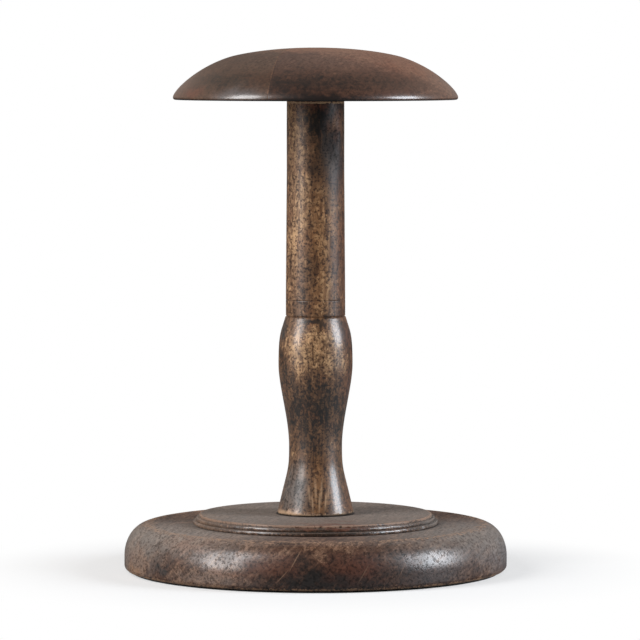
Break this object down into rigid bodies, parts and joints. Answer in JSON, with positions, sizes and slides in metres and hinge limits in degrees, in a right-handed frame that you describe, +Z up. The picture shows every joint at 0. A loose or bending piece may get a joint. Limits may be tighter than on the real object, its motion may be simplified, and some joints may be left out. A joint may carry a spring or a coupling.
{
  "type": "milliners hat stand",
  "caption": "Turned wooden hat stand: a domed mushroom cap on a column with a vase-shaped foot, fixed to a stepped round base with a reeded edge and felt beneath.",
  "frame": {"origin": "on the axis of the turning, at the underside of the felt, where the stand rests", "axes": "+Z up along the stem, towards the crown of the cap; +Y along the cap's glued seam, away from the viewer of the front; +X to the viewer's right"},
  "size_m": [0.1832, 0.1832, 0.25],
  "materials": {
    "cap_wood": "dark brown stained hardwood, semi-gloss, two boards with the grain along the seam",
    "stem_wood": "brown stained and waxed hardwood, worn lighter at the foot, grain along the stem",
    "base_wood": "brown stained and waxed hardwood, worn pale on the edges",
    "screw_steel": "plain steel, dull",
    "felt": "dark felt, glued on"
  },
  "bodies": {
    "root": {"base_felt": "felt", "base_disc": "base_wood", "base_step": "base_wood", "base_washer": "screw_steel", "base_screw": "screw_steel", "stem": "stem_wood", "cap_dowel_screw": "screw_steel", "cap_board_wide": "cap_wood", "cap_board_narrow": "cap_wood"}
  },
  "joints": []
}
